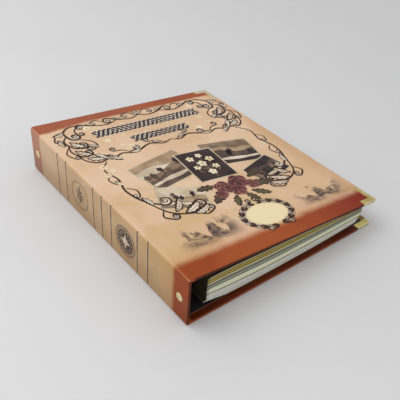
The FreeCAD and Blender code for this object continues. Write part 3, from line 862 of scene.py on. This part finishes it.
def joint_lining(name, outline):
    """The inner strip stops short of head and tail by the same inset as the endpapers."""
    count = len(outline)
    caps = [(i, i + 1, count - 2 - i, count - 1 - i) for i in range(count // 2 - 1)]
    piece = strip_along_spine(name, outline, caps, [0.0] * count, [0] * count, [endpaper])
    for vertex in piece.data.vertices:
        vertex.co.y *= (CASE_HALF - LINING_INSET) / CASE_HALF
    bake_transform(piece)


front_along = Vector((math.cos(FRONT_SLOPE), -math.sin(FRONT_SLOPE)))
joint_lining(
    "front_joint_lining", joint_outline(front_axis, 1, front_along),
)
joint_lining(
    "back_joint_lining", joint_outline(back_axis, -1, Vector((1.0, 0.0))),
)

# Corners: folded from thin sheet brass, pressed over the two fore-edge corners of each cover. The sheet is
# pale, brushed along its length and lacquered, and a little dulled by handling. Its rims are lighter, partly
# rubbed bright and partly a painted highlight. On the front corners a painted reflection makes the brass
# paler towards the head, and inside the back cover the brass along the fore edge is darkened with painted
# shade.


def brass_finish(name, bright, dull):
    made, shader, place = finish_of(name, Metallic=1.0)
    brushed = noise(stretched(place, 2600, 140, 2600), 1.0, 4)
    handled = noise(place, 90, 4)
    colour = mix(ramp(handled, 0.42, 0.7), bright, dull)
    colour = mix(ramp(brushed, 0.5, 0.8, 0.0, 0.3), colour, (176, 146, 84))
    x, y, _ = axes(place)
    end_rim = ramp(calc("ABSOLUTE", y), CASE_HALF - 1.6 * MM, CASE_HALF - 0.6 * MM)
    fore_rim = ramp(x, FORE_X - 2.6 * MM, FORE_X - 1.4 * MM)
    # The light rims are partly rubbed brass and partly a painted highlight.
    rims_rubbed_and_highlight = times(calc("MAXIMUM", end_rim, fore_rim), 0.4)
    colour = mix(rims_rubbed_and_highlight, colour, (246, 238, 208))
    give(
        shader,
        Base_Color=colour,
        Roughness=ramp(handled, 0.3, 0.75, 0.18, 0.34),
        Normal=relief(brushed, 0.005 * MM, 0.35 * MM),
    )
    return made, shader, place, colour


front_brass, shader, place, colour = brass_finish("front_brass", (202, 184, 120), (172, 152, 84))
# Painted reflection: the front corners are paler towards the head.
to_head = ramp(axes(place)[1], 0.0, 100 * MM, 0.0, 0.5)
give(shader, Base_Color=mix(to_head, colour, (240, 236, 216)))
back_brass, shader, place, colour = brass_finish("back_brass", (196, 182, 112), (166, 150, 78))
_, y, height = axes(place)
inside = ramp(height, BACK_THICK + 0.1 * MM, BACK_THICK + 0.3 * MM, 0.0, 0.8)
from_end = calc("SUBTRACT", CASE_HALF, calc("ABSOLUTE", y))
# Painted shade on the brass inside the back cover along the fore edge.
inside_painted_shade = times(inside, ramp(from_end, 6.5 * MM, 9 * MM))
give(shader, Base_Color=mix(inside_painted_shade, colour, (84, 56, 26)))
for end in ("head", "tail"):
    dress(nodes[f"corner_front_{end}"], front_brass)
    dress(nodes[f"corner_back_{end}"], back_brass)

# Rivets: two tubular brass rivets, set from outside through the spine and clinched over the ring plate.
# Their low domed heads show near the head and the tail of the spine.
rivet_brass = brass_finish("rivet_brass", (240, 228, 180), (216, 200, 146))[0]
for end in ("head", "tail"):
    dress(nodes[f"rivet_{end}"], rivet_brass)

# Ring mechanism: an arched plate of sprung sheet steel, two flat blades under it and four rings of round
# wire in halves, each half riveted to its blade. All of it is nickel plated.
nickel, shader, place = finish_of("nickel_plate", Metallic=1.0)
drawn = noise(stretched(place, 1800, 60, 1800), 1.0, 3)
haze = noise(place, 60, 3)
give(
    shader,
    Base_Color=mix(ramp(haze, 0.35, 0.7), (198, 197, 192), (172, 170, 164)),
    Roughness=ramp(haze, 0.3, 0.7, 0.2, 0.34),
    Normal=relief(drawn, 0.004 * MM),
)
RING_COUNT = 4
ring_nodes = [f"{half}_ring_{i + 1}" for half in ("upper", "lower") for i in range(RING_COUNT)]
for steel in ["ring_base_plate", "upper_blade", "lower_blade"] + ring_nodes:
    dress(nodes[steel], nickel)

# Leaves: eight sections of punched leaves on the rings. From the back cover up they are pockets with pale
# sheets, pockets with grey sheets and olive card. Each is darkened with painted shade along its inner edge,
# the top leaf and one leaf in the sixth section are dark sheets of painted shade, and each pocket has a weld
# line inside its margin. They sag behind the rings and close up towards the fore edge.
RING_CENTRE = Vector((hinge["leaf_turn_1"].x, hinge["leaf_turn_1"].z))
RING_RADIUS = 20.5 * MM
RING_PITCH = 80.0 * MM
LOWEST_REACH = [reach * MM for reach in (3.0, 2.4, 1.4, 0.2)]
HOLE_HALF = 2.9 * MM
HOLE_INSIDE, HOLE_OUTSIDE = 2.0 * MM, 4.15 * MM
SHADED_MARGIN = 3.0 * MM
POCKET_HALF = 147.0 * MM
POCKET_INNER, POCKET_FORE = -76.0 * MM, 114.0 * MM
LEAF_HALF = 151.0 * MM
LEAF_CORNER = 3.0 * MM
# In mm: how far the fore edges reach at each height, the heights along the stack for a share of its leaves,
# and how far the lower leaves hang down at head and tail.
FORE_EDGES = [(12, 117.0), (20, 122.5), (28, 123.8), (36, 122.4), (42, 119.6)]
STACK_LINES = {
    0.0: [(-130, 13.4), (-107, 12.9), (-97, 12.0), (-91, 10.8), (-84, 9.0), (-75, 7.0), (-64, 5.5),
          (-47, 4.3), (-20, 4.0), (20, 4.0), (45, 4.2), (66, 4.8), (90, 6.0), (108, 7.2), (126, 8.3)],
    0.55: [(-130, 27.4), (-107, 26.8), (-85, 25.2), (-66, 23.7), (-47, 22.2), (-24, 20.9), (10, 20.2),
           (66, 20.0), (108, 19.8), (126, 19.4)],
    0.75: [(-130, 33.4), (-107, 33.2), (-85, 32.8), (-66, 31.7), (-47, 30.5), (-24, 29.4), (10, 28.2),
           (66, 26.4), (90, 25.6), (126, 24.0)],
    1.0: [(-130, 40.6), (-110, 41.2), (-98, 41.5), (-85, 41.4), (-66, 40.8), (-47, 39.6), (-26, 38.4),
          (0, 36.9), (20, 35.8), (42, 34.3), (66, 32.0), (90, 29.0), (108, 27.2), (126, 25.5)],
}
END_DROOP = [(-130, 1.2), (-113, 1.4), (-107, 1.6), (-97, 3.2), (-91, 3.2), (-84, 2.8), (-75, 1.5),
             (-64, 0.6), (-47, 0.0), (130, 0.0)]
DROOP_ROWS = LEAF_HALF - 8 * MM, LEAF_HALF - 24 * MM
HOLE_BAND = -101.6 * MM, -80.2 * MM
BENDS = [x * MM for x in range(-70, 111, 12)]
SECTION_COUNT = 8
SHEETS = 7
SHEET_ROOM = 0.1, 0.9
INNER_PLAY, FORE_PLAY, END_PLAY = (0.75, 1.1), (0.0, 1.1), (0.0, 0.7)


def leaf_finish(name, light, dark, roughness, film):
    """Paper or card as its edges and faces show it; film is how far a clear pocket covers it."""
    made, shader, place = finish_of(name, Coat_Weight=film, Coat_Roughness=0.15, Specular_IOR_Level=0.15)
    one = node("NewGeometry", {}, place.id_data).outputs["Random Per Island"]
    fibre = noise(stretched(place, 40, 300, 900), 1.0, 5)
    share = calc("ADD", times(one, 0.75), ramp(fibre, 0.35, 0.75, 0.0, 0.3))
    colour = mix(share, light, dark)
    if film:
        x, y, _ = axes(place)
        past_ends = calc("SUBTRACT", calc("ABSOLUTE", y), POCKET_HALF)
        past_fore = calc("SUBTRACT", x, POCKET_FORE)
        past_holes = calc("SUBTRACT", POCKET_INNER, x)
        past = calc("MAXIMUM", past_ends, calc("MAXIMUM", past_fore, past_holes))
        colour = mix(ramp(past, -0.6 * MM, -0.4 * MM, 0.7, 0.0), colour, (240, 236, 230))
        weld = ramp(calc("ABSOLUTE", past), 0.5 * MM, 1.0 * MM, 0.5, 0.0)
        colour = mix(weld, colour, (150, 148, 138))
    give(
        shader,
        Base_Color=colour,
        Roughness=ramp(fibre, 0.3, 0.7, roughness - 0.06, roughness + 0.06),
        Normal=relief(fibre, 0.02 * MM),
    )
    return made


LEAF_FINISHES = {
    "card": leaf_finish("olive_card", (186, 168, 96), (146, 130, 62), 0.8, 0.0),
    "grey": leaf_finish("grey_pocket", (158, 158, 136), (90, 92, 80), 0.4, 0.4),
    "pale": leaf_finish("pale_pocket", (250, 252, 228), (222, 227, 196), 0.5, 0.3),
    "white": leaf_finish("white_pocket", (246, 246, 236), (200, 200, 190), 0.42, 0.4),
    "film": leaf_finish("clear_film", (232, 230, 204), (210, 210, 186), 0.25, 0.5),
    # A dark finish of painted shade, for the inner edges and for the dark leaves.
    "dark_shade": leaf_finish("leaf_painted_shade", (92, 80, 60), (26, 23, 17), 0.6, 0.0),
}
SECTION_KINDS = ["white", "white", "white", "pale", "grey", "grey", "card", "card"]


def on_curve(places, at):
    """The height, in metres, of a smooth line through places in mm."""
    at = min(max(at / MM, places[0][0]), places[-1][0])
    i = max(n for n in range(len(places) - 1) if places[n][0] <= at)
    (x0, z0), (x1, z1) = places[i], places[i + 1]
    before, after = places[max(i - 1, 0)], places[min(i + 2, len(places) - 1)]
    slope_0 = (z1 - before[1]) / (x1 - before[0])
    slope_1 = (after[1] - z0) / (after[0] - x0)
    t = (at - x0) / (x1 - x0)
    span = x1 - x0
    start = (2 * t ** 3 - 3 * t ** 2 + 1) * z0 + (t ** 3 - 2 * t ** 2 + t) * span * slope_0
    return (start + (3 * t ** 2 - 2 * t ** 3) * z1 + (t ** 3 - t ** 2) * span * slope_1) * MM


def leaf_level(share, x):
    """The height of a leaf; share is its place in the stack, 0 to 1. Across the holes it is straight."""
    if HOLE_BAND[0] < x < HOLE_BAND[1]:
        t = (x - HOLE_BAND[0]) / (HOLE_BAND[1] - HOLE_BAND[0])
        return leaf_level(share, HOLE_BAND[0]) * (1 - t) + leaf_level(share, HOLE_BAND[1]) * t
    marks = sorted(STACK_LINES)
    low, high = next((a, b) for a, b in zip(marks, marks[1:]) if share <= b)
    foot = on_curve(STACK_LINES[low], x)
    return foot + (share - low) / (high - low) * (on_curve(STACK_LINES[high], x) - foot)


def ring_crossing(share):
    """Where a leaf at this place in the stack crosses the rings."""
    x = RING_CENTRE.x + RING_RADIUS
    tries = 40
    for _ in range(tries):
        above = leaf_level(share, x) - RING_CENTRE.y
        x = 0.5 * x + 0.5 * (RING_CENTRE.x + math.sqrt(RING_RADIUS ** 2 - above ** 2))
    return x


def add_sheet(build, shares, crossing, inner, fore, half, kind_index, shade_index):
    """One leaf as a closed sheet: strips from tail to head, a band with the ring holes and a rounded end."""
    levels = [abs(leaf_level(share, crossing) - RING_CENTRE.y) for share in shares]
    near = RING_CENTRE.x + math.sqrt((RING_RADIUS - HOLE_INSIDE) ** 2 - max(levels) ** 2)
    far = RING_CENTRE.x + math.sqrt((RING_RADIUS + HOLE_OUTSIDE) ** 2 - min(levels) ** 2)
    last = fore - LEAF_CORNER
    stations = [inner, inner + SHADED_MARGIN, *HOLE_BAND, *BENDS, last]
    rows = [-half, -DROOP_ROWS[0], -DROOP_ROWS[1], DROOP_ROWS[1], DROOP_ROWS[0], half]

    def height(share, x, y):
        droop = on_curve(END_DROOP, x) * (1 - share) ** 2
        towards_end = max((abs(y) - DROOP_ROWS[1]) / (LEAF_HALF - DROOP_ROWS[1]), 0.0)
        return leaf_level(share, x) - droop * towards_end

    def corner(side):
        places, steps = [], 5
        for i in range(1, steps + 1):
            a = math.pi / 2 * i / steps
            y = half - LEAF_CORNER + LEAF_CORNER * math.cos(a)
            places.append((last + LEAF_CORNER * math.sin(a), side * y))
        return places

    middle, reach = (near + far) / 2, (far - near) / 2
    holes = []
    for i in range(RING_COUNT):
        y = RING_PITCH * (i - (RING_COUNT - 1) / 2)
        holes.append([(middle + reach * along, y + HOLE_HALF * across) for along, across in round_points(16)])
    layers = []
    for share in shares:
        def point(x, y):
            return build.verts.new((x, y, height(share, x, y)))

        grid = [[point(x, y) for y in rows] for x in stations]
        end = [point(x, y) for x, y in corner(-1)] + [point(x, y) for x, y in reversed(corner(1))]
        rings = [[point(x, y) for x, y in hole] for hole in holes]
        for i in range(len(stations) - 1):
            for j in range(len(rows) - 1):
                square = [grid[i][j], grid[i + 1][j], grid[i + 1][j + 1], grid[i][j + 1]]
                if stations[i] == HOLE_BAND[0] and rows[j] == -DROOP_ROWS[1]:
                    edges = []
                    for loop in [square] + rings:
                        for a, b in zip(loop, loop[1:] + loop[:1]):
                            edges.append(build.edges.get((a, b)) or build.edges.new((a, b)))
                    filled = bmesh.ops.triangle_fill(build, use_beauty=True, edges=edges)
                    for face in filled["geom"]:
                        if isinstance(face, bmesh.types.BMFace):
                            face.material_index = kind_index
                else:
                    build.faces.new(square).material_index = shade_index if i == 0 else kind_index
        build.faces.new(end + grid[-1][::-1]).material_index = kind_index
        tail = [column[0] for column in grid]
        head = [column[-1] for column in grid]
        layers.append([tail + end + head[::-1] + grid[0][-2:0:-1]] + rings)
    inner_walls = range(len(layers[0][0]) - len(rows) + 1, len(layers[0][0]))
    for number, (low, high) in enumerate(zip(*layers)):
        for i in range(len(low)):
            j = (i + 1) % len(low)
            wall = build.faces.new((low[i], low[j], high[j], high[i]))
            wall.material_index = shade_index if number == 0 and i in inner_walls else kind_index


# Sheets of another kind than their section, by the number of the section and the place in it.
ODD_SHEETS = {
    (3, 4): "grey", (3, 5): "card", (3, 6): "pale", (5, 0): "pale", (5, 1): "pale", (5, 2): "pale",
    # The dark sheets here are painted shade.
    (5, 6): "white", (6, 5): "dark_shade", (6, 6): "film", (7, 0): "film", (8, 5): "film", (8, 6): "dark_shade",
}
chance = random.Random(7)
for k in range(SECTION_COUNT):
    build = bmesh.new()
    used = [SECTION_KINDS[k], "dark_shade"]
    for i in range(SHEETS):
        sheet_kind = ODD_SHEETS.get((k + 1, i), SECTION_KINDS[k])
        if sheet_kind not in used:
            used.append(sheet_kind)
        shares = [(k * SHEETS + i + thick) / (SECTION_COUNT * SHEETS) for thick in SHEET_ROOM]
        crossing = ring_crossing(shares[0])
        inner = RING_CENTRE.x + chance.uniform(*INNER_PLAY) * MM
        if k == 0 and i < len(LOWEST_REACH):
            inner = RING_CENTRE.x - LOWEST_REACH[i]
        fore = on_curve(FORE_EDGES, leaf_level(shares[0], crossing)) - chance.uniform(*FORE_PLAY) * MM
        half = LEAF_HALF - chance.uniform(*END_PLAY) * MM
        add_sheet(build, shares, crossing, inner, fore, half, used.index(sheet_kind), used.index("dark_shade"))
    bmesh.ops.recalc_face_normals(build, faces=build.faces)
    mesh = bpy.data.meshes.new(f"leaves_{k + 1}_sheets")
    build.to_mesh(mesh)
    build.free()
    sheets = placed(mesh.name, mesh)
    dress(sheets, *[LEAF_FINISHES[name] for name in used])
    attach(sheets, f"leaves_{k + 1}")
    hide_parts(f"leaf_section_{k + 1}")

# Studio: a wide pale grey table, a large soft lamp high up on the spine and head side, and an even room.
# The camera looks down at the tail and the spine.
TABLE_HALF = 5.0
table_corners = [(TABLE_HALF * x, TABLE_HALF * y, 0) for x, y in ((-1, -1), (1, -1), (1, 1), (-1, 1))]
floor_mesh = bpy.data.meshes.new("floor")
floor_mesh.from_pydata(table_corners, [], [(0, 1, 2, 3)])
floor = placed("floor", floor_mesh)
floor.location.z = -0.05 * MM
table_top, shader, place = finish_of("table_top", Roughness=0.8, Specular_IOR_Level=0.2)
dust = noise(place, 3, 3)
# Painted light falloff: the table is painted darker towards the right, away from the lamp.
aside = ramp(axes(place)[0], -0.5, 0.7)
table_grey_painted_falloff = mix(aside, (223, 223, 224), (207, 207, 208))
give(shader, Base_Color=mix(ramp(dust, 0.4, 0.7, 0.0, 0.25), table_grey_painted_falloff, (206, 206, 208)))
dress(floor, table_top)

world = bpy.data.worlds.new("room")
bpy.context.scene.world = world
world.use_nodes = True
room_light = world.node_tree.nodes["Background"]
room_light.inputs["Color"].default_value = (1.0, 1.0, 1.0, 1.0)
room_light.inputs["Strength"].default_value = 0.72

soft_light = bpy.data.lights.new("key_lamp", "AREA")
soft_light.shape = "SQUARE"
soft_light.size = 1.5
soft_light.energy = 15
key_lamp = placed("key_lamp", soft_light)
key_lamp.location = (-0.8, 0.6, 1.8)
key_lamp.rotation_euler = (-key_lamp.location).to_track_quat("-Z", "Y").to_euler()

PHOTO_PX = 400
FOCAL_PX = 607.4
AZIMUTH, ELEVATION, ROLL = -0.7092, 0.6513, 0.0726
CAMERA_PLACE = [c * MM for c in (-380.75, -450.72, 443.0)]
lens = bpy.data.cameras.new("camera")
lens.sensor_width = 36.0
lens.lens = FOCAL_PX / PHOTO_PX * lens.sensor_width
lens.clip_start = 0.01
camera = placed("camera", lens)
back = Vector((
    math.sin(AZIMUTH) * math.cos(ELEVATION),
    -math.cos(AZIMUTH) * math.cos(ELEVATION),
    math.sin(ELEVATION),
))
level_right = Vector((math.cos(AZIMUTH), math.sin(AZIMUTH), 0.0))
level_up = back.cross(level_right)
right = level_right * math.cos(ROLL) + level_up * math.sin(ROLL)
up = level_up * math.cos(ROLL) - level_right * math.sin(ROLL)
turn = Matrix((right, up, back)).transposed()
camera.matrix_world = Matrix.Translation(CAMERA_PLACE) @ turn.to_4x4()
bpy.context.scene.camera = camera
bpy.context.scene.view_settings.view_transform = "Standard"
